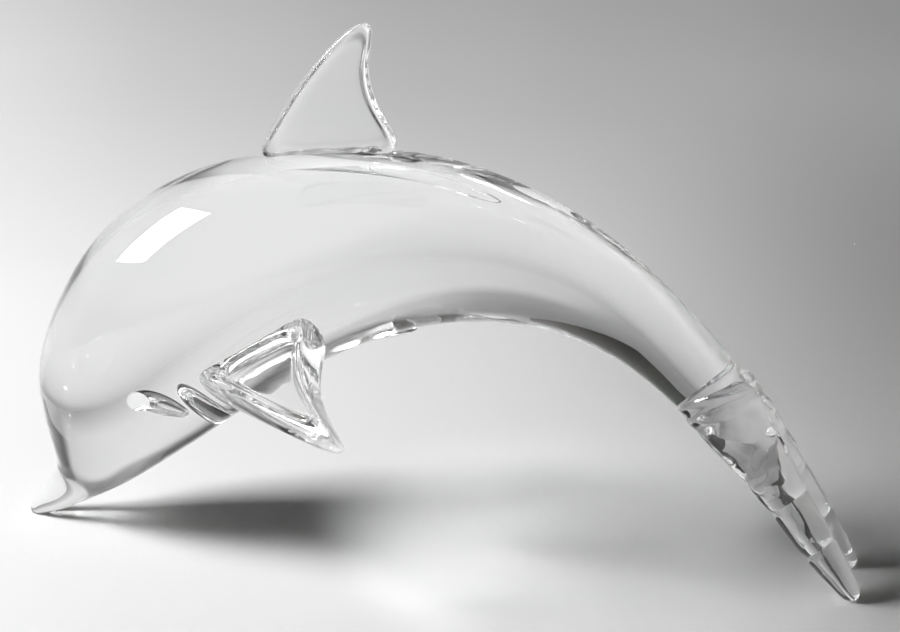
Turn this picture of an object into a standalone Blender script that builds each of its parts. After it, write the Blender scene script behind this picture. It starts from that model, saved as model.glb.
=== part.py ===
# Leaping porpoise, hot-worked from solid clear crystal, standing on its beak and its two tail lobes.
# Metres, +Z up. The head points along -X and the tail along +X. The two sides mirror across the XZ plane.
# Body, dorsal fin, flippers and tail lobes were joined hot, so they are one solid.

import math

import bmesh
import bpy
from mathutils import Matrix, Vector

MM = 0.001
ACROSS = Vector((0.0, 1.0, 0.0))

# The body in side view, from the beak to the tail, in millimetres: at each station the point on the
# back (x, z), the point on the belly (x, z) and half the width. Stations are numbered from 0.
BODY_STATIONS = [
    (-122.8, 4.6, -121.6, 0.2, 2.6),
    (-119.6, 10.2, -114.0, 2.4, 5.6),
    (-114.0, 18.6, -103.5, 7.6, 8.6),
    (-115.4, 27.4, -91.8, 14.0, 14.5),
    (-118.8, 45.8, -77.6, 24.0, 22.5),
    (-114.2, 65.8, -64.0, 34.2, 27.5),
    (-99.4, 91.0, -47.8, 46.8, 30.5),
    (-72.0, 110.4, -30.4, 58.2, 29.5),
    (-38.8, 117.8, -10.6, 67.4, 26.0),
    (-4.2, 118.8, 9.2, 71.8, 22.0),
    (28.8, 109.2, 29.4, 71.2, 17.6),
    (56.4, 92.2, 48.8, 65.2, 13.2),
    (78.8, 71.4, 66.0, 53.6, 10.8),
    (95.0, 54.0, 80.4, 40.0, 10.0),
]
RINGS_PER_STATION = 4
BODY_RING_POINTS = 28
BEAK_END_ROUNDING = 1.0 * MM
BEAK_END_SCALE = 0.6

# The fin and the flippers are blades; their flat faces start at this share of the way to the middle.
BLADE_FACE_START = 0.45

# Dorsal fin. Outline points are shares of its length along the back, from the middle, and of its height.
DORSAL_STATION = 8.15
DORSAL_LENGTH = 38.0 * MM
DORSAL_HEIGHT = 37.0 * MM
DORSAL_THICKNESS = 7.0 * MM
DORSAL_OUTLINE = [
    (-0.48, -0.10), (-0.51, 0.04), (-0.40, 0.19), (-0.24, 0.43), (-0.01, 0.70), (0.23, 0.92),
    (0.37, 0.98), (0.44, 0.90), (0.345, 0.65), (0.375, 0.37), (0.50, 0.13), (0.545, 0.02), (0.48, -0.10),
]

# Flippers. The root runs along the flank between two stations, at a turn from the back in degrees.
# Outline points are shares of the root's length, from its front end, and of the reach.
FLIPPER_FRONT_STATION = 5.80
FLIPPER_REAR_STATION = 7.36
FLIPPER_ROOT_TURN = 126.0
FLIPPER_REACH = 45.0 * MM
FLIPPER_SPLAY = 56.0
FLIPPER_ROOT_THICKNESS = 12.0 * MM
FLIPPER_TIP_THICKNESS = 7.0 * MM
FLIPPER_OUTLINE = [
    (-0.08, -0.05), (0.06, -0.17), (0.48, -0.17), (0.90, -0.15), (1.06, 0.00), (0.94, 0.22),
    (0.885, 0.50), (0.945, 0.80), (1.06, 1.10), (0.89, 1.01), (0.50, 0.60), (0.06, 0.12),
]

# Tail lobes, two flattened fingers that part at the end of the body and rest on the floor.
LOBE_ROOT_STATION = 12.40
LOBE_ROOT_OFFSET = 4.0 * MM
LOBE_TIP_X = 123.4 * MM
LOBE_SPREAD = 12.6 * MM
LOBE_TIP_LIFT = 1.6 * MM
LOBE_RINGS = 18
LOBE_RING_POINTS = 16
LOBE_HALF_WIDTHS = [7.2, 8.0, 7.4, 6.2, 3.4]
LOBE_HALF_THICKNESSES = [10.4, 8.4, 6.4, 5.2, 3.0]
# The lobe's middle line leaves the body parting sideways by this much for each unit of length, and
# arrives at the floor in this direction. Each end pulls the line for a share of its length.
LOBE_PARTING = 0.25
LOBE_ARRIVAL = Vector((0.62, 0.0, -0.78))
LOBE_LEAVING_PULL = 0.40
LOBE_ARRIVING_PULL = 0.36
# Rings that round the lobe's ends: millimetres past the end, and scale.
LOBE_ROOT_ROUNDING = [(-2.2, 0.55), (-1.2, 0.88)]
LOBE_TIP_ROUNDING = [(-3.0, 0.97), (-1.4, 0.86), (0.0, 0.60), (0.6, 0.30)]
TOOL_MARKS = [0.50, 0.74]
TOOL_MARK_LENGTH = 1.3 * MM
TOOL_MARK_DEPTH = 0.8 * MM

# Eyes, each a tear-shaped pit that a tool pushed in from a round mouth and drew back towards the tail.
EYE_STATION = 5.09
EYE_TURN = 104.0
EYE_MOUTH_RADIUS = 3.0 * MM
EYE_TAIL_LENGTH = 13.5 * MM
EYE_TAIL_DROP = 19.0
EYE_DEPTH = 11.0 * MM
EYE_BEND_DEPTH = 7.7 * MM
EYE_END_SCALE = 0.12
EYE_RINGS = 9
EYE_RING_POINTS = 14

# Depth of glass ground flat where the beak and the lobes stand.
GROUND_DEPTH = 0.6 * MM
GRINDING_PLANE_SIZE = 400.0 * MM

# Step along a curve for reading its direction there, in stations or as a share of a lobe's length.
STATION_STEP = 0.05
LOBE_STEP = 0.01

CRYSTAL = (0.93, 0.94, 0.94)


def clear_scene():
    for item in list(bpy.data.objects):
        bpy.data.objects.remove(item)


def crystal_material():
    material = bpy.data.materials.new("clear_crystal")
    material.use_nodes = True
    shader = material.node_tree.nodes["Principled BSDF"]
    shader.inputs["Base Color"].default_value = (*CRYSTAL, 1.0)
    shader.inputs["Roughness"].default_value = 0.02
    shader.inputs["Metallic"].default_value = 0.0
    shader.inputs["Transmission Weight"].default_value = 1.0
    shader.inputs["IOR"].default_value = 1.54
    return material


def curve(values, place):
    """Value at a fractional place in a list of numbers, on a smooth curve through them."""
    last = len(values) - 1
    start = min(max(int(math.floor(place)), 0), last - 1)
    share = place - start
    before, first, second, after = (values[min(max(start + step, 0), last)] for step in (-1, 0, 1, 2))
    slope_in = (second - before) / 2
    slope_out = (after - first) / 2
    bend = 3 * (second - first) - 2 * slope_in - slope_out
    twist = slope_in + slope_out - 2 * (second - first)
    return first + share * (slope_in + share * (bend + share * twist))


def body_section(station):
    """Middle of the body there, the vector from it to the back, and half the width."""
    back_x, back_z, belly_x, belly_z, half_width = (
        curve(column, station) * MM for column in zip(*BODY_STATIONS)
    )
    back = Vector((back_x, 0.0, back_z))
    belly = Vector((belly_x, 0.0, belly_z))
    return (back + belly) / 2, (back - belly) / 2, half_width


def body_point(station, turn, side):
    """Point on the body's surface, at a turn in degrees from the back, on the near (-1) or far (1) side."""
    middle, to_back, half_width = body_section(station)
    angle = math.radians(turn)
    return middle + to_back * math.cos(angle) + ACROSS * side * half_width * math.sin(angle)


def body_heading(station):
    ahead = body_section(station + STATION_STEP)[0]
    return (ahead - body_section(station - STATION_STEP)[0]).normalized()


def object_from(name, mesh, stand, helper):
    for polygon in mesh.polygons:
        polygon.use_smooth = True
    item = bpy.data.objects.new(name, mesh)
    bpy.context.scene.collection.objects.link(item)
    item.parent = stand
    if helper:
        item.hide_render = True
        item.display_type = "WIRE"
    return item


def loft(name, rings, stand, helper=True):
    """Closed form through rings of points, with a flat end at each end ring."""
    shape = bmesh.new()
    loops = [[shape.verts.new(point) for point in ring] for ring in rings]
    count = len(loops[0])
    for first, second in zip(loops, loops[1:]):
        for i in range(count):
            j = (i + 1) % count
            shape.faces.new((first[i], first[j], second[j], second[i]))
    shape.faces.new(loops[0])
    shape.faces.new(loops[-1])
    bmesh.ops.recalc_face_normals(shape, faces=shape.faces)
    mesh = bpy.data.meshes.new(name)
    shape.to_mesh(mesh)
    shape.free()
    return object_from(name, mesh, stand, helper)


def oval(middle, up, wide, count):
    """Ring of points round a middle, from the up vector towards the wide one."""
    turns = [2 * math.pi * i / count for i in range(count)]
    return [middle + up * math.cos(turn) + wide * math.sin(turn) for turn in turns]


def blade(name, outline, half_thickness, place, stand):
    """Rounded blade from a flat outline; half_thickness gives its half thickness at an outline point.
    place takes an outline point and a height off the blade's middle plane to a point in space."""
    shape = bmesh.new()
    middle = (sum(p[0] for p in outline) / len(outline), sum(p[1] for p in outline) / len(outline))
    loops = []
    for face, share in ((1, BLADE_FACE_START), (1, 0.0), (-1, 0.0), (-1, BLADE_FACE_START)):
        loop = []
        for a, b in outline:
            point = (a + (middle[0] - a) * share, b + (middle[1] - b) * share)
            loop.append(shape.verts.new(place(point, face * half_thickness(point))))
        loops.append(loop)
    count = len(outline)
    for first, second in zip(loops, loops[1:]):
        for i in range(count):
            j = (i + 1) % count
            shape.faces.new((first[i], first[j], second[j], second[i]))
    shape.faces.new(loops[0])
    shape.faces.new(loops[-1])
    bmesh.ops.recalc_face_normals(shape, faces=shape.faces)
    mesh = bpy.data.meshes.new(name)
    shape.to_mesh(mesh)
    shape.free()
    item = object_from(name, mesh, stand, True)
    rounding = item.modifiers.new("rounding", "SUBSURF")
    rounding.levels = 2
    rounding.render_levels = 2
    return item


def make_body(stand):
    last = len(BODY_STATIONS) - 1
    steps = last * RINGS_PER_STATION
    rings = []
    for step in range(steps + 1):
        middle, to_back, half_width = body_section(last * step / steps)
        rings.append(oval(middle, to_back, ACROSS * half_width, BODY_RING_POINTS))
    middle, to_back, half_width = body_section(0)
    tip = middle - body_heading(0) * BEAK_END_ROUNDING
    wide = ACROSS * half_width * BEAK_END_SCALE
    rings.insert(0, oval(tip, to_back * BEAK_END_SCALE, wide, BODY_RING_POINTS))
    return loft("porpoise", rings, stand, helper=False)


def make_dorsal_fin(stand):
    seat = body_point(DORSAL_STATION, 0.0, 1)
    ahead = body_point(DORSAL_STATION + STATION_STEP, 0.0, 1)
    heading = (ahead - body_point(DORSAL_STATION - STATION_STEP, 0.0, 1)).normalized()
    up = heading.cross(ACROSS)
    up = up if up.z > 0 else -up

    def place(point, height):
        return seat + heading * point[0] * DORSAL_LENGTH + up * point[1] * DORSAL_HEIGHT + ACROSS * height

    return blade("dorsal_fin_form", DORSAL_OUTLINE, lambda point: DORSAL_THICKNESS / 2, place, stand)


def make_flipper(stand, side):
    front = body_point(FLIPPER_FRONT_STATION, FLIPPER_ROOT_TURN, side)
    rear = body_point(FLIPPER_REAR_STATION, FLIPPER_ROOT_TURN, side)
    chord = rear - front
    heading = chord.normalized()
    down = Vector((heading.z, 0.0, -heading.x)).normalized()
    splay = math.radians(FLIPPER_SPLAY)
    reach = (down * math.cos(splay) + ACROSS * side * math.sin(splay)).normalized()
    reach = (reach - heading * reach.dot(heading)).normalized()
    off = heading.cross(reach).normalized()

    def half_thickness(point):
        share = min(max(point[1], 0.0), 1.0)
        return (FLIPPER_ROOT_THICKNESS + (FLIPPER_TIP_THICKNESS - FLIPPER_ROOT_THICKNESS) * share) / 2

    def place(point, height):
        return front + chord * point[0] + reach * point[1] * FLIPPER_REACH + off * height

    name = "flipper_form_near" if side < 0 else "flipper_form_far"
    return blade(name, FLIPPER_OUTLINE, half_thickness, place, stand)


def lobe_path(share, side):
    """Point on a lobe's middle line: it leaves the body's end and runs down to the floor."""
    root = body_section(LOBE_ROOT_STATION)[0] + ACROSS * side * LOBE_ROOT_OFFSET
    tip = Vector((LOBE_TIP_X, side * LOBE_SPREAD, LOBE_TIP_LIFT))
    reach = (tip - root).length
    leaving = (body_heading(LOBE_ROOT_STATION) + ACROSS * side * LOBE_PARTING).normalized()
    leave = root + leaving * reach * LOBE_LEAVING_PULL
    arrive = tip - LOBE_ARRIVAL * reach * LOBE_ARRIVING_PULL
    rest = 1 - share
    upper = root * rest ** 3 + leave * 3 * rest ** 2 * share
    lower = arrive * 3 * rest * share ** 2 + tip * share ** 3
    return upper + lower


def lobe_ring(share, side, scale):
    """Ring round a lobe at a share of its length."""
    heading = (lobe_path(share + LOBE_STEP, side) - lobe_path(share - LOBE_STEP, side)).normalized()
    wide = (ACROSS - heading * heading.dot(ACROSS)).normalized()
    up = heading.cross(wide)
    place = share * (len(LOBE_HALF_WIDTHS) - 1)
    half_width = curve(LOBE_HALF_WIDTHS, place) * MM
    half_thickness = curve(LOBE_HALF_THICKNESSES, place) * MM
    depth = TOOL_MARK_DEPTH if share in TOOL_MARKS else 0.0
    up = up * (half_thickness - depth) * scale
    wide = wide * (half_width - depth) * scale
    return oval(lobe_path(share, side), up, wide, LOBE_RING_POINTS)


def make_lobe(stand, side):
    reach = (lobe_path(1.0, side) - lobe_path(0.0, side)).length
    groove = TOOL_MARK_LENGTH / reach
    shares = [step / LOBE_RINGS for step in range(1, LOBE_RINGS - 1)]
    shares = [share for share in shares if all(abs(share - mark) > 1.5 * groove for mark in TOOL_MARKS)]
    for mark in TOOL_MARKS:
        shares += [mark - groove, mark, mark + groove]
    rings = [lobe_ring(past * MM / reach, side, scale) for past, scale in LOBE_ROOT_ROUNDING]
    rings += [lobe_ring(share, side, 1.0) for share in sorted([0.0] + shares)]
    rings += [lobe_ring(1 + past * MM / reach, side, scale) for past, scale in LOBE_TIP_ROUNDING]
    return loft("tail_lobe_form_near" if side < 0 else "tail_lobe_form_far", rings, stand)


def make_eye_pit(stand, side):
    mouth = body_point(EYE_STATION, EYE_TURN, side)
    outward = ACROSS * side
    drop = math.radians(EYE_TAIL_DROP)
    tailward = Vector((math.cos(drop), 0.0, -math.sin(drop)))
    start = mouth + outward * EYE_MOUTH_RADIUS
    bend = mouth - outward * EYE_BEND_DEPTH
    end = mouth - outward * EYE_DEPTH + tailward * EYE_TAIL_LENGTH
    rings = []
    for step in range(EYE_RINGS + 1):
        share = step / EYE_RINGS
        rest = 1 - share
        middle = start * rest ** 2 + bend * 2 * rest * share + end * share ** 2
        heading = ((bend - start) * rest + (end - bend) * share).normalized()
        wide = heading.cross(Vector((0.0, 0.0, 1.0))).normalized()
        up = heading.cross(wide)
        radius = EYE_MOUTH_RADIUS * max(math.sqrt(1 - share ** 3), EYE_END_SCALE)
        rings.append(oval(middle, up * radius, wide * radius, EYE_RING_POINTS))
    return loft("eye_pit_form_near" if side < 0 else "eye_pit_form_far", rings, stand)


def make_ground_block(stand, top):
    shape = bmesh.new()
    place = Matrix.Translation((0.0, 0.0, top - GRINDING_PLANE_SIZE / 2))
    bmesh.ops.create_cube(shape, size=GRINDING_PLANE_SIZE, matrix=place)
    mesh = bpy.data.meshes.new("grinding_plane_form")
    shape.to_mesh(mesh)
    shape.free()
    return object_from("grinding_plane_form", mesh, stand, True)


def combine(body, form, operation):
    step = body.modifiers.new(form.name, "BOOLEAN")
    step.object = form
    step.operation = operation
    step.solver = "EXACT"


def lowest(item):
    bpy.context.view_layer.update()
    shape = item.evaluated_get(bpy.context.evaluated_depsgraph_get())
    return min(corner[2] for corner in shape.bound_box)


def stand_on_floor(body, stand):
    """Puts the middle of the bottom of the whole form at the world's origin."""
    bpy.context.view_layer.update()
    shape = body.evaluated_get(bpy.context.evaluated_depsgraph_get())
    corners = [Vector(corner) for corner in shape.bound_box]
    low = [min(corner[axis] for corner in corners) for axis in range(3)]
    high = [max(corner[axis] for corner in corners) for axis in range(3)]
    stand.location = (-(low[0] + high[0]) / 2, -(low[1] + high[1]) / 2, -low[2])


def main():
    clear_scene()
    stand = bpy.data.objects.new("stand", None)
    bpy.context.scene.collection.objects.link(stand)
    body = make_body(stand)
    joined = [make_dorsal_fin(stand)]
    for side in (-1, 1):
        joined.append(make_flipper(stand, side))
        joined.append(make_lobe(stand, side))
    for form in joined:
        combine(body, form, "UNION")
    for side in (-1, 1):
        combine(body, make_eye_pit(stand, side), "DIFFERENCE")
    combine(body, make_ground_block(stand, lowest(body) + GROUND_DEPTH), "DIFFERENCE")
    body.data.materials.append(crystal_material())
    stand_on_floor(body, stand)


main()
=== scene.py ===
import math

import bmesh
import bpy
from mathutils import Matrix, Vector


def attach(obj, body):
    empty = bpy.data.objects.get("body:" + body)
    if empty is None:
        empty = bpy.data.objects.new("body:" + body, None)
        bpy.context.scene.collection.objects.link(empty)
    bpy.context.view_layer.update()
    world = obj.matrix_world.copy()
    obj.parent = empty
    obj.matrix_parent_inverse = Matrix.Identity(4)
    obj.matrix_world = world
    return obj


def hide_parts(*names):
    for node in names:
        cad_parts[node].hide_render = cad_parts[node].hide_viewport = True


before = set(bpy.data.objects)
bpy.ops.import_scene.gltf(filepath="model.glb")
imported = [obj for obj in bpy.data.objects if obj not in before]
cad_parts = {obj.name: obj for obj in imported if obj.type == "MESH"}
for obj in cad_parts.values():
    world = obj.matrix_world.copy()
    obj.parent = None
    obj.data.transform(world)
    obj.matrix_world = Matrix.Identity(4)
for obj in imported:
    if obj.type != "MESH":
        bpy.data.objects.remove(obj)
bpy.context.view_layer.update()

mm = 0.001
across = Vector((0, 1, 0))
seat = Vector((-0.72, 0, -0.80)) * mm   # the sketch's zero is this far from the frame's origin


def linear(colour):
    # "#rrggbb" as sRGB, to the linear values that a shader takes
    parts = [int(colour[i:i + 2], 16) / 255 for i in (1, 3, 5)]
    return tuple(p / 12.92 if p <= 0.04045 else ((p + 0.055) / 1.055) ** 2.4 for p in parts) + (1.0,)


def between(low, value, high):
    return min(high, max(low, value))


def smoothNumber(numbers, place):
    # value at a fractional place in a list, on a smooth curve through its numbers
    last = len(numbers) - 1
    start = between(0, int(math.floor(place)), last - 1)
    share = place - start
    before, first, second, after = (numbers[between(0, start + step, last)] for step in (-1, 0, 1, 2))
    slopeIn = (second - before) / 2
    slopeOut = (after - first) / 2
    bend = 3 * (second - first) - 2 * slopeIn - slopeOut
    twist = slopeIn + slopeOut - 2 * (second - first)
    return first + share * (slopeIn + share * (bend + share * twist))


def startFresh():
    # object mode, nothing selected
    if bpy.context.object and bpy.context.object.mode == "EDIT":
        bpy.ops.object.mode_set(mode="OBJECT")
    bpy.ops.object.select_all(action="DESELECT")


def pick(piece):
    # only this piece selected and active, in object mode
    startFresh()
    piece.select_set(True)
    bpy.context.view_layer.objects.active = piece


def selectVertices(piece, wanted):
    # in edit mode: selects the vertices for which wanted(vertex) is true
    sketch = bmesh.from_edit_mesh(piece.data)
    for face in sketch.faces:
        face.select = False
    for edge in sketch.edges:
        edge.select = False
    for vertex in sketch.verts:
        vertex.select = bool(wanted(vertex))
    sketch.select_flush(True)
    bmesh.update_edit_mesh(piece.data)


def editAll(piece):
    pick(piece)
    bpy.ops.object.mode_set(mode="EDIT")
    bpy.ops.mesh.select_all(action="SELECT")


def applyModifier(piece, kind, **settings):
    pick(piece)
    bpy.ops.object.modifier_add(type=kind)
    step = piece.modifiers[-1]
    for name, value in settings.items():
        setattr(step, name, value)
    bpy.ops.object.modifier_apply(modifier=step.name)


def closeAndSmooth(piece, smoothing):
    # from edit mode: faces turned outwards, then smoothed
    bpy.ops.mesh.select_all(action="SELECT")
    bpy.ops.mesh.normals_make_consistent(inside=False)
    bpy.ops.object.mode_set(mode="OBJECT")
    applyModifier(piece, "SUBSURF", levels=smoothing, render_levels=smoothing)


def ringPiece(name, rings, points, smoothing):
    # a form drawn as ovals along its length, bridged one to the next, closed at both ends and smoothed
    spread = 3 / (2 + math.cos(2 * math.pi / points))   # the smoothing draws an oval in by this much
    startFresh()
    for number, (middle, up, wide) in enumerate(rings):
        turn = Matrix((up.normalized(), wide.normalized(), up.cross(wide).normalized())).transposed()
        bpy.ops.mesh.primitive_circle_add(vertices=points, radius=up.length * spread, location=middle,
                                          rotation=turn.to_euler())
        if number == 0:
            piece = bpy.context.object
            piece.name = piece.data.name = name
            bpy.ops.object.transform_apply(location=True, rotation=True, scale=True)
            bpy.ops.object.mode_set(mode="EDIT")
        bpy.ops.transform.resize(value=(1, wide.length / up.length, 1), orient_type="GLOBAL",
                                 orient_matrix=turn, orient_matrix_type="GLOBAL",
                                 constraint_axis=(False, True, False), center_override=middle)
        if number > 0:
            low = (number - 1) * points
            selectVertices(piece, lambda vertex: vertex.index >= low)
            bpy.ops.mesh.bridge_edge_loops()
    for low in (0, (len(rings) - 1) * points):
        selectVertices(piece, lambda vertex: low <= vertex.index < low + points)
        bpy.ops.mesh.edge_face_add()
    closeAndSmooth(piece, smoothing)
    return piece


def flatPiece(name, points, radius):
    # a flat round sheet at the origin
    startFresh()
    bpy.ops.mesh.primitive_circle_add(vertices=points, radius=radius, fill_type="NGON")
    piece = bpy.context.object
    piece.name = piece.data.name = name
    return piece


def bladePiece(name, outline, lay, smoothing, faceSteps):
    # a fin or flipper: its outline drawn flat, given its thickness, drawn in on both faces in steps and
    # smoothed. lay takes an outline point and a face (1 or -1) to its place; a step is a share of the
    # outline and how deep the face is pressed in there.
    rough = 10 * mm   # only until lay has put the points in place
    piece = flatPiece(name, len(outline), rough)
    editAll(piece)
    bpy.ops.mesh.extrude_region_move(TRANSFORM_OT_translate={"value": (0, 0, -rough)})
    sketch = bmesh.from_edit_mesh(piece.data)
    sketch.verts.ensure_lookup_table()
    count = len(outline)
    for vertex in sketch.verts:
        face = 1 if vertex.index < count else -1
        vertex.co = lay(outline[vertex.index % count], face)
    bmesh.update_edit_mesh(piece.data)
    for face in (0, 1):
        low = face * count
        selectVertices(piece, lambda vertex: low <= vertex.index < low + count)
        sketch = bmesh.from_edit_mesh(piece.data)
        sketch.verts.ensure_lookup_table()
        middle = sum((sketch.verts[low + i].co for i in range(count)), Vector()) / count
        other = sum((sketch.verts[count - low + i].co for i in range(count)), Vector()) / count
        inward = (other - middle).normalized()
        scaled, pressed = 1, 0
        for share, depth in faceSteps:
            bpy.ops.mesh.extrude_region_move(TRANSFORM_OT_translate={"value": inward * (depth - pressed)})
            bpy.ops.transform.resize(value=(share / scaled,) * 3, center_override=middle + inward * depth)
            scaled, pressed = share, depth
    closeAndSmooth(piece, smoothing)
    return piece


def join(piece, form, how):
    # hot-joins a form to the piece, or takes it away
    applyModifier(piece, "BOOLEAN", operation=how, object=form, solver="EXACT")
    bpy.data.objects.remove(form)


body = {
    # side view from the beak to the tail, in mm: back x, back z, belly x, belly z, half width
    "stations": [
        (-122.8, 4.6, -121.6, 0.2, 2.6),
        (-119.6, 10.2, -114.0, 2.4, 5.6),
        (-114.0, 18.6, -103.5, 7.6, 8.6),
        (-115.4, 27.4, -91.8, 14.0, 14.5),
        (-118.8, 45.8, -77.6, 24.0, 22.5),
        (-114.2, 65.8, -64.0, 34.2, 27.5),
        (-99.4, 91.0, -47.8, 46.8, 30.5),
        (-72.0, 110.4, -30.4, 58.2, 29.5),
        (-38.8, 117.8, -10.6, 67.4, 26.0),
        (-4.2, 118.8, 9.2, 71.8, 22.0),
        (28.8, 109.2, 29.4, 71.2, 17.6),
        (56.4, 92.2, 48.8, 65.2, 13.2),
        (78.8, 71.4, 66.0, 53.6, 10.8),
        (95.0, 54.0, 80.4, 40.0, 10.0),
    ],
    "ringsPerStation": 3,
    "ringPoints": 20,
    "smoothing": 3,
    "noseCap": (1.0 * mm, 0.6),   # how far it reaches past the first ring, and its scale
    "endScales": [0.84, 0.40],    # of the last two rings, which the lobes swallow
    "edgeAngle": 35,              # degrees: a fold sharper than this shows as an edge
}


def bodySection(station):
    # middle of the body at a station, the way from it to the back, and half the width
    numbers = [smoothNumber(column, station) * mm for column in zip(*body["stations"])]
    back = Vector((numbers[0], 0, numbers[1]))
    belly = Vector((numbers[2], 0, numbers[3]))
    return (back + belly) / 2 + seat, (back - belly) / 2, numbers[4]


def bodyPoint(station, turn, side):
    # a point on the skin, at a turn in degrees from the back, near side -1 or far side 1
    middle, toBack, halfWidth = bodySection(station)
    turn = math.radians(turn)
    return middle + toBack * math.cos(turn) + across * side * halfWidth * math.sin(turn)


stationNudge = 0.05   # either side of a station, to find which way the body heads


def bodyHeading(station):
    ahead, behind = (bodySection(station + nudge)[0] for nudge in (stationNudge, -stationNudge))
    return (ahead - behind).normalized()


def makeBody():
    last = len(body["stations"]) - 1
    steps = last * body["ringsPerStation"]
    sections = [bodySection(last * step / steps) for step in range(steps + 1)]
    rings = [(middle, toBack, across * halfWidth) for middle, toBack, halfWidth in sections]
    for number, scale in zip((-2, -1), body["endScales"]):
        middle, toBack, wide = rings[number]
        rings[number] = (middle, toBack * scale, wide * scale)
    middle, toBack, wide = rings[0]
    reach, scale = body["noseCap"]
    rings.insert(0, (middle - bodyHeading(0) * reach, toBack * scale, wide * scale))
    return ringPiece("porpoise_crystal", rings, body["ringPoints"], body["smoothing"])


dorsal = {
    "station": 8.15,
    "length": 38 * mm,
    "height": 37 * mm,
    "thickness": 7 * mm,
    # shares of the length along the back, from the fin's middle, and of the height
    "outline": [
        (-0.48, -0.10), (-0.51, 0.04), (-0.40, 0.19), (-0.24, 0.43), (-0.01, 0.70), (0.23, 0.92),
        (0.37, 0.98), (0.44, 0.90), (0.345, 0.65), (0.375, 0.37), (0.50, 0.13), (0.545, 0.02),
        (0.48, -0.10),
    ],
    # the flame left the rim a little thicker
    "faceSteps": [(0.88, -0.1 * mm), (0.80, 0.5 * mm), (0.50, 0.6 * mm)],
    "smoothing": 3,
}


def makeDorsal():
    foot = bodyPoint(dorsal["station"], 0, 1)
    ahead, behind = (bodyPoint(dorsal["station"] + nudge, 0, 1) for nudge in (stationNudge, -stationNudge))
    heading = (ahead - behind).normalized()
    up = heading.cross(across)

    def lay(point, face):
        along = heading * point[0] * dorsal["length"] + up * point[1] * dorsal["height"]
        return foot + along + across * face * dorsal["thickness"] / 2

    return bladePiece("dorsal_fin", dorsal["outline"], lay, dorsal["smoothing"], dorsal["faceSteps"])


flipper = {
    "frontStation": 5.80,
    "rearStation": 7.36,
    "rootTurn": 126,          # degrees round from the back
    "reach": 45 * mm,
    "splay": 56,              # degrees out from straight down
    "rootThickness": 12 * mm,
    "tipThickness": 7 * mm,
    # pressed in by a paddle
    "faceSteps": [(0.72, -0.3 * mm), (0.64, 0.0), (0.575, 1.0 * mm), (0.40, 1.0 * mm)],
    # shares of the root's length, from its front end, and of the reach
    "outline": [
        (-0.08, -0.05), (0.06, -0.17), (0.48, -0.17), (0.90, -0.15), (1.06, 0.00), (0.94, 0.22),
        (0.885, 0.50), (0.945, 0.80), (1.06, 1.10), (0.89, 1.01), (0.50, 0.60), (0.06, 0.12),
    ],
    "smoothing": 3,
}


def makeFlipper(side):
    front = bodyPoint(flipper["frontStation"], flipper["rootTurn"], side)
    chord = bodyPoint(flipper["rearStation"], flipper["rootTurn"], side) - front
    heading = chord.normalized()
    down = Vector((heading.z, 0, -heading.x)).normalized()
    splay = math.radians(flipper["splay"])
    reach = down * math.cos(splay) + across * side * math.sin(splay)
    reach = (reach - heading * reach.dot(heading)).normalized()
    off = heading.cross(reach).normalized()

    def lay(point, face):
        share = between(0, point[1], 1)
        thinning = flipper["tipThickness"] - flipper["rootThickness"]
        thickness = flipper["rootThickness"] + thinning * share
        return front + chord * point[0] + reach * point[1] * flipper["reach"] + off * face * thickness / 2

    return bladePiece("flipper", flipper["outline"], lay, flipper["smoothing"], flipper["faceSteps"])


lobe = {
    "rootStation": 12.40,
    "rootOffset": 4 * mm,
    "rootSplay": 0.25,        # how far it leaves the body sideways, for each step along it
    "rootPull": 0.40,         # shares of the reach over which each end keeps its own direction
    "tipPull": 0.36,
    "tipX": 123.4 * mm,
    "spread": 12.6 * mm,
    "tipLift": 1.6 * mm,
    "tipHeading": Vector((0.62, 0, -0.78)),   # the way it runs where it meets the table
    "rings": 18,
    "ringPoints": 16,
    "halfWidths": [7.2, 8.0, 7.4, 6.2, 3.4],          # mm, from root to tip
    "halfThicknesses": [10.4, 8.4, 6.4, 5.2, 3.0],
    # round ends: mm past the root or the tip, and a scale
    "rootRings": [(-2.2, 0.55), (-1.2, 0.88)],
    "tipRings": [(-3.0, 0.97), (-1.4, 0.86), (0.0, 0.60), (0.6, 0.30)],
    "toolMarks": [0.50, 0.74],                        # shares of the length where the tool nipped it
    "toolMarkLength": 1.3 * mm,
    "toolMarkDepth": 0.9 * mm,
    "plainRings": 1.5,        # plain rings keep this many mark lengths away from a mark
    "rootLean": 20,           # degrees: the joint lies lower on the back than square to the lobe
    "leanTo": 0.32,           # share of the length where that lean has gone
    # shares of the length and mm, round the joint; plain rings begin past lapTo
    "lapWaves": [(0.020, 0.35), (0.040, -0.30), (0.062, 0.40), (0.085, -0.15)],
    "lapTo": 0.1,
    "workedWaves": 1.5 * mm,  # how strongly the tool left the soft glass uneven, and how wide each wave is
    "workedWidth": 7 * mm,
    "leastWorked": 0.12,      # below the first tool mark
    "workedFrom": 0.06,       # shares of the length: how gently the unevenness begins and ends
    "workedPast": 0.03,
    "workedFade": 0.1,
    "smoothing": 2,
}


def lobePath(share, side):
    # a lobe's middle line, which leaves the body's end and runs down to the table
    root = bodySection(lobe["rootStation"])[0] + across * side * lobe["rootOffset"]
    tip = Vector((lobe["tipX"], side * lobe["spread"], lobe["tipLift"])) + seat
    reach = (tip - root).length
    outward = (bodyHeading(lobe["rootStation"]) + across * side * lobe["rootSplay"]).normalized()
    leave = root + outward * reach * lobe["rootPull"]
    arrive = tip - lobe["tipHeading"] * reach * lobe["tipPull"]
    rest = 1 - share
    nearRoot = root * rest ** 3 + leave * 3 * rest ** 2 * share
    return nearRoot + arrive * 3 * rest * share ** 2 + tip * share ** 3


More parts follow.
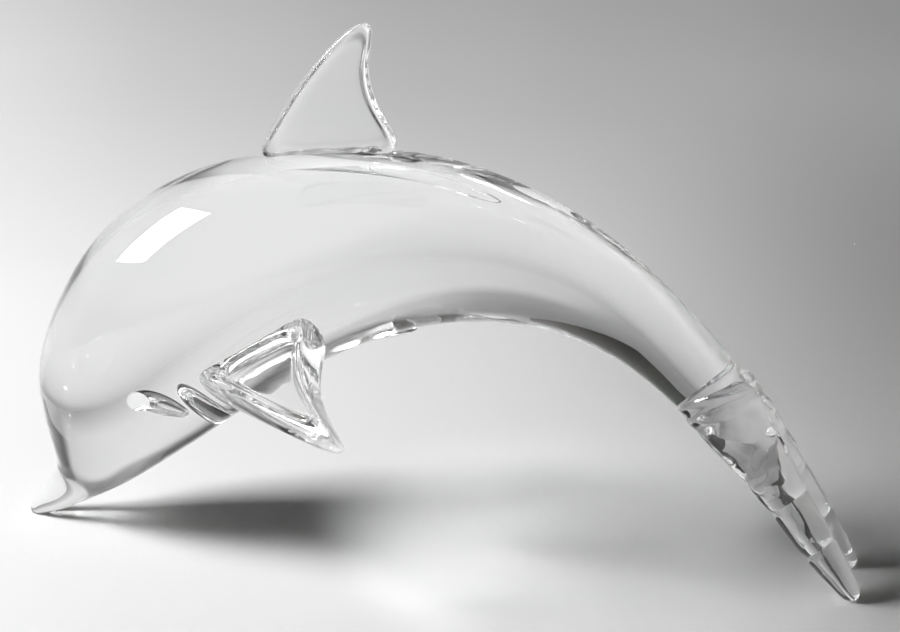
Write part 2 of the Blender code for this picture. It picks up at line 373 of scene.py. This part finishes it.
def lobeRing(share, side, scale, depth=0):
    nudge = 0.01
    heading = (lobePath(share + nudge, side) - lobePath(share - nudge, side)).normalized()
    wide = (across - heading * heading.dot(across)).normalized()
    up = heading.cross(wide)
    lean = math.tan(math.radians(lobe["rootLean"])) * max(0, 1 - max(share, 0) / lobe["leanTo"])
    place = share * (len(lobe["halfWidths"]) - 1)
    halfWidth = (smoothNumber(lobe["halfWidths"], place) * mm - depth) * scale
    halfThickness = (smoothNumber(lobe["halfThicknesses"], place) * mm - depth) * scale
    return lobePath(share, side), (up + heading * lean) * halfThickness, wide * halfWidth


def makeLobe(side):
    reach = (lobePath(1, side) - lobePath(0, side)).length
    groove = lobe["toolMarkLength"] / reach
    plain = [step / lobe["rings"] for step in range(1, lobe["rings"] - 1)]
    shares = [(0, 0)]
    for share in plain:
        nearest = min(abs(share - mark) for mark in lobe["toolMarks"])
        if share > lobe["lapTo"] and nearest > lobe["plainRings"] * groove:
            shares.append((share, 0))
    for mark in lobe["toolMarks"]:
        shares += [(mark - groove, 0), (mark, lobe["toolMarkDepth"]), (mark + groove, 0)]
    shares += [(place, -wave * mm) for place, wave in lobe["lapWaves"]]
    rings = [lobeRing(past * mm / reach, side, scale) for past, scale in lobe["rootRings"]]
    rings += [lobeRing(share, side, 1, depth) for share, depth in sorted(shares)]
    rings += [lobeRing(1 + past * mm / reach, side, scale) for past, scale in lobe["tipRings"]]
    piece = ringPiece("tail_lobe", rings, lobe["ringPoints"], lobe["smoothing"])
    # the soft glass stayed uneven from the joint to the first tool mark, and nearly smooth below it
    worked = piece.vertex_groups.new(name="worked")
    root, tip = lobePath(0, side), lobePath(1, side)
    for vertex in piece.data.vertices:
        share = (vertex.co - root).dot(tip - root) / (tip - root).length_squared
        toMark = lobe["toolMarks"][0] + lobe["workedPast"] - share
        weight = between(lobe["leastWorked"], toMark / lobe["workedFade"], 1)
        weight *= between(0, (share + lobe["workedFrom"]) / lobe["workedFrom"], 1)
        worked.add([vertex.index], weight, "REPLACE")
    waves = bpy.data.textures.new("soft_glass_waves", "CLOUDS")
    waves.noise_scale = lobe["workedWidth"]
    waves.noise_depth = 1
    applyModifier(piece, "DISPLACE", texture=waves, texture_coords="LOCAL", mid_level=0.5,
                  strength=lobe["workedWaves"], vertex_group="worked")
    return piece


eye = {
    "station": 5.09,
    "turn": 104,              # degrees round from the back
    "mouthRadius": 3.0 * mm,
    "tailLength": 12.4 * mm,
    "tailDrop": 19,           # degrees below level
    "depth": 11.0 * mm,
    "bendDepth": 7.7 * mm,    # the point that bends the pit's middle line back towards the tail
    "bendRise": 2.6 * mm,
    "fatness": [1.0, 1.08, 1.15, 1.14, 0.98, 0.45],    # shares of the mouth's radius, from mouth to tip
    "rings": 9,
    "ringPoints": 16,
    "smoothing": 2,
}


def makeEyePit(side):
    # a tear-shaped pit: the tool went in at the round mouth and was drawn back towards the tail
    mouth = bodyPoint(eye["station"], eye["turn"], side)
    drop = math.radians(eye["tailDrop"])
    tailward = Vector((math.cos(drop), 0, -math.sin(drop)))
    start = mouth + across * side * eye["mouthRadius"]
    bend = mouth - across * side * eye["bendDepth"] + Vector((0, 0, eye["bendRise"]))
    end = mouth - across * side * eye["depth"] + tailward * eye["tailLength"]
    rings = []
    for step in range(eye["rings"] + 1):
        share = step / eye["rings"]
        rest = 1 - share
        middle = start * rest ** 2 + bend * 2 * rest * share + end * share ** 2
        heading = ((bend - start) * rest + (end - bend) * share).normalized()
        wide = heading.cross(Vector((0, 0, 1))).normalized()
        radius = eye["mouthRadius"] * smoothNumber(eye["fatness"], share * (len(eye["fatness"]) - 1))
        rings.append((middle, heading.cross(wide) * radius, wide * radius))
    return ringPiece("eye_pit", rings, eye["ringPoints"], eye["smoothing"])


grind = {
    "depth": 0.6 * mm,     # glass ground flat under the beak and the lobes
    "onCut": 0.001 * mm,   # a point nearer to the cut than this lies on it
    "crumb": 0.004 * mm,   # points nearer to each other than this become one
}


def grindFeet(piece):
    floorCut = min(vertex.co.z for vertex in piece.data.vertices) + grind["depth"]
    editAll(piece)
    bpy.ops.mesh.bisect(plane_co=(0, 0, floorCut), plane_no=(0, 0, 1), use_fill=True,
                        clear_inner=True, threshold=grind["onCut"])
    bpy.ops.mesh.select_all(action="SELECT")
    bpy.ops.transform.translate(value=(0, 0, -floorCut))
    bpy.ops.object.mode_set(mode="OBJECT")
    return floorCut


def clearSeams(piece):
    # the joins leave doubled points and slivers along their seams
    editAll(piece)
    bpy.ops.mesh.remove_doubles(threshold=grind["crumb"])
    bpy.ops.mesh.dissolve_degenerate(threshold=grind["crumb"])
    bpy.ops.mesh.normals_make_consistent(inside=False)
    bpy.ops.object.mode_set(mode="OBJECT")


porpoise = makeBody()
print("body drawn:", len(porpoise.data.polygons), "faces")
join(porpoise, makeDorsal(), "UNION")
for side in (-1, 1):
    join(porpoise, makeFlipper(side), "UNION")
    join(porpoise, makeLobe(side), "UNION")
print("fins, flippers and lobes joined:", len(porpoise.data.polygons), "faces")
for side in (-1, 1):
    join(porpoise, makeEyePit(side), "DIFFERENCE")
print("feet ground at", round(grindFeet(porpoise) / mm, 2), "mm")
clearSeams(porpoise)
print("triangles:", sum(len(face.vertices) - 2 for face in porpoise.data.polygons))
pick(porpoise)
bpy.ops.object.shade_smooth_by_angle(angle=math.radians(body["edgeAngle"]))


def addNode(tree, kind, settings=None, links=None):
    # adds a node with its settings; a link's value is another node's output
    node = tree.nodes.new(kind)
    for name, value in (settings or {}).items():
        if name in node.inputs:
            node.inputs[name].default_value = value
        else:
            setattr(node, name, value)
    for name, output in (links or {}).items():
        tree.links.new(output, node.inputs[name])
    return node


def mathNode(tree, operation, first, second):
    node = tree.nodes.new("ShaderNodeMath")
    node.operation = operation
    for socket, value in zip(node.inputs, (first, second)):
        if isinstance(value, (int, float)):
            socket.default_value = value
        else:
            tree.links.new(value, socket)
    return node.outputs["Value"]


def mixShaders(tree, share, first, second):
    # the first shader, and the second one in its place by the share
    mix = tree.nodes.new("ShaderNodeMixShader")
    for socket, output in zip(mix.inputs, (share, first, second)):
        tree.links.new(output, socket)
    return mix.outputs["Shader"]


def riseNode(tree, value, low, high, kind="SMOOTHSTEP"):
    # rises from 0 at low to 1 at high, gently at both ends unless the kind is LINEAR
    step = addNode(tree, "ShaderNodeMapRange",
                   {"interpolation_type": kind, "From Min": low, "From Max": high}, {"Value": value})
    return step.outputs["Result"]


def noiseNode(tree, where, width, detail=0.0):
    # a cloudy pattern whose waves are this wide
    return addNode(tree, "ShaderNodeTexNoise", {"Scale": 1 / width, "Detail": detail}, {"Vector": where})


def bumpNode(tree, pattern, height):
    return addNode(tree, "ShaderNodeBump", {"Strength": 1.0, "Distance": height},
                   {"Height": pattern.outputs["Fac"]})


def newMaterial(name):
    material = bpy.data.materials.new(name)
    material.use_nodes = True
    return material, material.node_tree


crystal = {
    "colour": "#fefefe",
    "cordColour": "#fafbfb",      # in the faint cords of a melt that was gathered in several turns
    "cordStretch": (0.35, 1.0, 1.0),
    "cordTwist": 0.6,
    "cordEdges": (0.40, 0.72),    # where in the pattern the plain glass ends and a cord is full
    "ior": 1.545,                 # lead crystal
    "waveWidth": 22 * mm,         # slow waves that the flame and the paddle left in the skin
    "waveHeight": 0.02 * mm,
    "rippleWidth": 4 * mm,
    "rippleHeight": 0.0012 * mm,
    "roughness": (0.0, 0.004),
    "wipeWidth": 9 * mm,          # faint bloom where it was handled and wiped
    "wipeEdges": (0.45, 0.80),
}


def fusedLeadCrystal():
    # clear lead crystal, fire-polished: no grain, only slow waves, cords and a trace of bloom
    material, tree = newMaterial("fire_polished_lead_crystal")
    shader = tree.nodes["Principled BSDF"]
    shader.inputs["Transmission Weight"].default_value = 1.0
    shader.inputs["IOR"].default_value = crystal["ior"]
    where = addNode(tree, "ShaderNodeTexCoord").outputs["Object"]
    stretch = addNode(tree, "ShaderNodeMapping", {"Scale": crystal["cordStretch"]}, {"Vector": where})
    cords = noiseNode(tree, stretch.outputs["Vector"], crystal["waveWidth"], 1.0)
    cords.inputs["Distortion"].default_value = crystal["cordTwist"]
    tint = addNode(tree, "ShaderNodeValToRGB", {}, {"Fac": cords.outputs["Fac"]})
    colours = (crystal["colour"], crystal["cordColour"])
    for mark, at, colour in zip(tint.color_ramp.elements, crystal["cordEdges"], colours):
        mark.position = at
        mark.color = linear(colour)
    tree.links.new(tint.outputs["Color"], shader.inputs["Base Color"])
    wiped = noiseNode(tree, where, crystal["wipeWidth"], 3.0)
    (clean, handled), (smooth, rough) = crystal["wipeEdges"], crystal["roughness"]
    bloom = addNode(tree, "ShaderNodeMapRange", {"From Min": clean, "From Max": handled, "To Min": smooth,
                                                 "To Max": rough}, {"Value": wiped.outputs["Fac"]})
    tree.links.new(bloom.outputs["Result"], shader.inputs["Roughness"])
    small = bumpNode(tree, noiseNode(tree, where, crystal["rippleWidth"]), crystal["rippleHeight"])
    skin = bumpNode(tree, noiseNode(tree, where, crystal["waveWidth"]), crystal["waveHeight"])
    tree.links.new(small.outputs["Normal"], skin.inputs["Normal"])
    tree.links.new(skin.outputs["Normal"], shader.inputs["Normal"])
    return material


porpoise.data.materials.clear()
porpoise.data.materials.append(fusedLeadCrystal())
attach(porpoise, "root")
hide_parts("porpoise")
print("crystal ready")

table = {
    "colour": "#e4e4e4",
    "paintedShadeColour": "#a6a6a6",     # painted shade: darker paper colour towards the right, farther from the window
    "paintedShadeFrom": (-0.03, 0.20),   # metres across where the painted shade begins and is full
    "roughness": 0.55,
    "sheen": 0.2,
    "solidTo": 0.28,              # metres from the sculpture; from here the paper fades into the room
    "gone": 0.95,
    "rimPoints": 64,
}


def makeTable():
    # a flat round sheet of white paper, with painted shade towards the right, which fades into the room
    # around it
    top = flatPiece("table_top", table["rimPoints"], table["gone"])
    paper, tree = newMaterial("matt_white_paper_with_painted_shade")
    shader = tree.nodes["Principled BSDF"]
    shader.inputs["Roughness"].default_value = table["roughness"]
    shader.inputs["Specular IOR Level"].default_value = table["sheen"]
    where = addNode(tree, "ShaderNodeTexCoord").outputs["Object"]
    parts = addNode(tree, "ShaderNodeSeparateXYZ", {}, {"Vector": where})
    # painted shade: the paper's colour darkens towards the right, where it lies farther from the window
    paintedShadeShare = riseNode(tree, parts.outputs["X"], *table["paintedShadeFrom"])
    shade = addNode(tree, "ShaderNodeValToRGB", {}, {"Fac": paintedShadeShare})
    for mark, colour in zip(shade.color_ramp.elements, (table["colour"], table["paintedShadeColour"])):
        mark.color = linear(colour)
    tree.links.new(shade.outputs["Color"], shader.inputs["Base Color"])
    away = addNode(tree, "ShaderNodeVectorMath", {"operation": "LENGTH"}, {"Vector": where})
    faded = riseNode(tree, away.outputs["Value"], table["solidTo"], table["gone"])
    clear = addNode(tree, "ShaderNodeBsdfTransparent")
    surface = mixShaders(tree, faded, shader.outputs["BSDF"], clear.outputs["BSDF"])
    tree.links.new(surface, tree.nodes["Material Output"].inputs["Surface"])
    top.data.materials.append(paper)
    return top


makeTable()

studio = {
    # one soft window on the left
    "windowBearing": -103.5,   # degrees round from straight away from the camera's side, left is -90
    "windowHeight": 37,        # degrees above level
    "windowDistance": 1.3,
    "windowFrom": Vector((-0.05, 0, 0.07)),   # the point that bearing, height and distance start from
    "windowFaces": Vector((-0.4, 0.15, 0)),
    "windowSize": (0.56, 0.58),
    "windowWatts": 32,
    "shadowLight": 0.012,      # what the rest of the room adds in the shadows
    # the room as the glass and the camera see it: paleness from the left (-1) to the right (1), and its
    # share from level (0) to straight up (1) and down (-1)
    "paleness": [
        (-1.0, 1.30), (-0.8, 1.15), (-0.6, 0.98), (-0.5, 0.86), (-0.4, 0.70), (-0.3, 0.52), (-0.2, 0.41),
        (-0.1, 0.35), (0.0, 0.30), (0.1, 0.24), (0.2, 0.22), (0.3, 0.26), (0.5, 0.36), (0.8, 0.42),
    ],
    "heightShare": [
        (-0.5, 1.60), (-0.25, 1.50), (-0.19, 1.38), (-0.13, 1.10), (0.0, 1.00), (0.15, 0.87), (0.25, 0.78),
        (0.35, 0.69), (0.45, 0.61), (0.55, 0.54), (0.65, 0.49), (0.75, 0.44), (1.0, 0.35),
    ],
    # the same heights again, on the left only: dark above the window
    "darkAboveWindow": [(0.0, 1.0), (0.46, 1.0), (0.58, 0.22), (1.0, 0.15)],
    "leftSide": (-0.62, -0.45),
    # from behind the camera (-1) to the far side (1)
    "cameraSide": [(-1.0, 0.32), (-0.45, 0.32), (-0.10, 0.75), (0.05, 1.0), (1.0, 1.0)],
}


def rampOver(tree, value, low, high, stops):
    # a smooth curve of greys over low to high; the ramp itself holds shares of the palest one
    place = riseNode(tree, value, low, high, "LINEAR")
    ramp = addNode(tree, "ShaderNodeValToRGB", {}, {"Fac": place})
    ramp.color_ramp.interpolation = "CARDINAL"
    marks = ramp.color_ramp.elements
    while len(marks) < len(stops):
        marks.new(0.5)
    palest = max(tone for at, tone in stops)
    for mark, (at, tone) in zip(marks, stops):
        mark.position = (at - low) / (high - low)
        mark.color = (tone / palest, tone / palest, tone / palest, 1)
    return mathNode(tree, "MULTIPLY", ramp.outputs["Color"], palest)


def hangWindow():
    lamp = bpy.data.lights.new("window", "AREA")
    lamp.shape = "RECTANGLE"
    lamp.size, lamp.size_y = studio["windowSize"]
    lamp.energy = studio["windowWatts"]
    window = bpy.data.objects.new("window", lamp)
    bpy.context.scene.collection.objects.link(window)
    bearing = math.radians(studio["windowBearing"])
    height = math.radians(studio["windowHeight"])
    level = Vector((math.sin(bearing), math.cos(bearing), 0)) * math.cos(height)
    toWindow = level + Vector((0, 0, math.sin(height)))
    window.location = studio["windowFrom"] + toWindow * studio["windowDistance"]
    facing = studio["windowFaces"] - window.location
    window.rotation_euler = facing.to_track_quat("-Z", "Y").to_euler()


def paintRoom():
    room = bpy.data.worlds.new("room")
    bpy.context.scene.world = room
    room.use_nodes = True
    tree = room.node_tree
    tree.nodes.clear()
    ray = addNode(tree, "ShaderNodeLightPath").outputs
    way = addNode(tree, "ShaderNodeTexCoord").outputs["Generated"]
    parts = addNode(tree, "ShaderNodeSeparateXYZ", {}, {"Vector": way})
    toRight, away, upward = (parts.outputs[axis] for axis in "XYZ")
    lowest = studio["heightShare"][0][0]
    pale = rampOver(tree, toRight, -1, 1, studio["paleness"])
    share = rampOver(tree, upward, lowest, 1, studio["heightShare"])
    above = rampOver(tree, upward, 0, 1, studio["darkAboveWindow"])
    notLeft = riseNode(tree, toRight, *studio["leftSide"], "LINEAR")
    onLeft = mathNode(tree, "SUBTRACT", 1.0, notLeft)
    above = mathNode(tree, "ADD", mathNode(tree, "MULTIPLY", above, onLeft), notLeft)
    behind = rampOver(tree, away, -1, 1, studio["cameraSide"])
    behind = mathNode(tree, "MAXIMUM", behind, ray["Is Camera Ray"])
    tone = mathNode(tree, "MULTIPLY", mathNode(tree, "MULTIPLY", pale, share),
                    mathNode(tree, "MULTIPLY", above, behind))
    seen = addNode(tree, "ShaderNodeBackground", {"Strength": 1.0}, {"Color": tone})
    dim = studio["shadowLight"]
    fill = addNode(tree, "ShaderNodeBackground", {"Color": (dim, dim, dim, 1), "Strength": 1.0})
    looks = mathNode(tree, "MAXIMUM", ray["Is Camera Ray"], ray["Is Glossy Ray"])
    looks = mathNode(tree, "MAXIMUM", looks, ray["Is Transmission Ray"])
    direct = mathNode(tree, "LESS_THAN", ray["Diffuse Depth"], 0.5)
    looks = mathNode(tree, "MULTIPLY", looks, direct)
    surface = mixShaders(tree, looks, fill.outputs["Background"], seen.outputs["Background"])
    addNode(tree, "ShaderNodeOutputWorld", {}, {"Surface": surface})


def hangCard(name, corners, away, material):
    # a card beyond the sculpture, which only the glass sees; a corner is how far across and up it is
    rough = 100 * mm   # only until the corners are in place
    card = flatPiece(name, len(corners), rough)
    for vertex, (toRight, upward) in zip(card.data.vertices, corners):
        vertex.co = (toRight, away, upward)
    card.data.materials.append(material)
    card.visible_camera = card.visible_shadow = card.visible_diffuse = False
    return card


darkCard = {
    "away": 0.76,
    "corners": [
        (0.15, 0.17), (-0.09, 0.70), (-0.09, 0.92), (0.88, 0.92), (0.88, 0.05), (0.62, 0.05), (0.45, 0.17),
    ],
    "colour": "#060606",
    "roughness": 0.9,
}


def makeDarkCard():
    # on the right; it makes the dark band under the belly
    black, tree = newMaterial("black_card")
    shader = tree.nodes["Principled BSDF"]
    shader.inputs["Base Color"].default_value = linear(darkCard["colour"])
    shader.inputs["Roughness"].default_value = darkCard["roughness"]
    shader.inputs["Specular IOR Level"].default_value = 0.0
    return hangCard("dark_card", darkCard["corners"], darkCard["away"], black)


# painted light: a glowing sheet, no lamp, that only the glass shows
glowingCard = {
    "away": 0.30,
    "height": 0.45,
    "paleness": [(-0.30, 0.82), (-0.12, 0.70), (-0.05, 0.60), (0.06, 0.46)],   # across
    "palenessSpan": (-0.4, 0.1),
    # each edge is gone at the first number and full at the second; the top one rises to the left
    "left": (-0.55, -0.38),
    "right": (0.04, -0.03),
    "top": (0.14, 0.09),
    "bottom": (0.0, 0.07),
    "topSlope": 0.35,
}


def makeGlowingCard():
    # close behind the head: a glowing sheet, no lamp, that only the glass shows; this painted light makes
    # the head's lower half pale
    white, tree = newMaterial("glowing_card_with_soft_edges")
    tree.nodes.clear()
    where = addNode(tree, "ShaderNodeTexCoord").outputs["Object"]
    parts = addNode(tree, "ShaderNodeSeparateXYZ", {}, {"Vector": where})
    toRight, upward = parts.outputs["X"], parts.outputs["Z"]
    tone = rampOver(tree, toRight, *glowingCard["palenessSpan"], glowingCard["paleness"])
    glow = addNode(tree, "ShaderNodeEmission", {"Strength": 1.0}, {"Color": tone})
    height = mathNode(tree, "ADD", upward, mathNode(tree, "MULTIPLY", toRight, glowingCard["topSlope"]))
    depth = addNode(tree, "ShaderNodeLightPath").outputs["Diffuse Depth"]
    solid = mathNode(tree, "LESS_THAN", depth, 0.5)
    for value, edge in ((toRight, "left"), (toRight, "right"), (height, "top"), (upward, "bottom")):
        solid = mathNode(tree, "MULTIPLY", solid, riseNode(tree, value, *glowingCard[edge]))
    clear = addNode(tree, "ShaderNodeBsdfTransparent")
    surface = mixShaders(tree, solid, clear.outputs["BSDF"], glow.outputs["Emission"])
    addNode(tree, "ShaderNodeOutputMaterial", {}, {"Surface": surface})
    left, right, top = glowingCard["left"][0], glowingCard["right"][0], glowingCard["height"]
    corners = [(left, 0), (left, top), (right, top), (right, 0)]
    return hangCard("glowing_card", corners, glowingCard["away"], white)


hangWindow()
paintRoom()
makeDarkCard()
makeGlowingCard()
print("table, window, room and cards ready")

view = {
    "place": Vector((84.18, -576.17, 238.90)) * mm + seat,
    "target": Vector((1.24, 14.01, 68.0)) * mm + seat,
    "roll": 1.95,             # degrees, the picture's right side lifted
    "lens": 84.32,
    "filmWidth": 36,
    "nearest": 10 * mm,
}


def setCamera():
    camera = bpy.data.objects.new("camera", bpy.data.cameras.new("camera"))
    bpy.context.scene.collection.objects.link(camera)
    forward = (view["target"] - view["place"]).normalized()
    level = forward.cross(Vector((0, 0, 1))).normalized()
    upright = level.cross(forward)
    roll = math.radians(view["roll"])
    right = level * math.cos(roll) + upright * math.sin(roll)
    up = upright * math.cos(roll) - level * math.sin(roll)
    turn = Matrix((right, up, -forward)).transposed().to_4x4()
    camera.matrix_world = Matrix.Translation(view["place"]) @ turn
    camera.data.lens = view["lens"]
    camera.data.sensor_width = view["filmWidth"]
    camera.data.clip_start = view["nearest"]
    bpy.context.scene.camera = camera


setCamera()
scene = bpy.context.scene
scene.view_settings.view_transform = "Standard"
bounces = 64
scene.cycles.max_bounces = scene.cycles.transmission_bounces = scene.cycles.glossy_bounces = bounces
scene.cycles.blur_glossy = 0   # so that the light gathered by the glass falls sharp on the table
scene.cycles.sample_clamp_indirect = 0
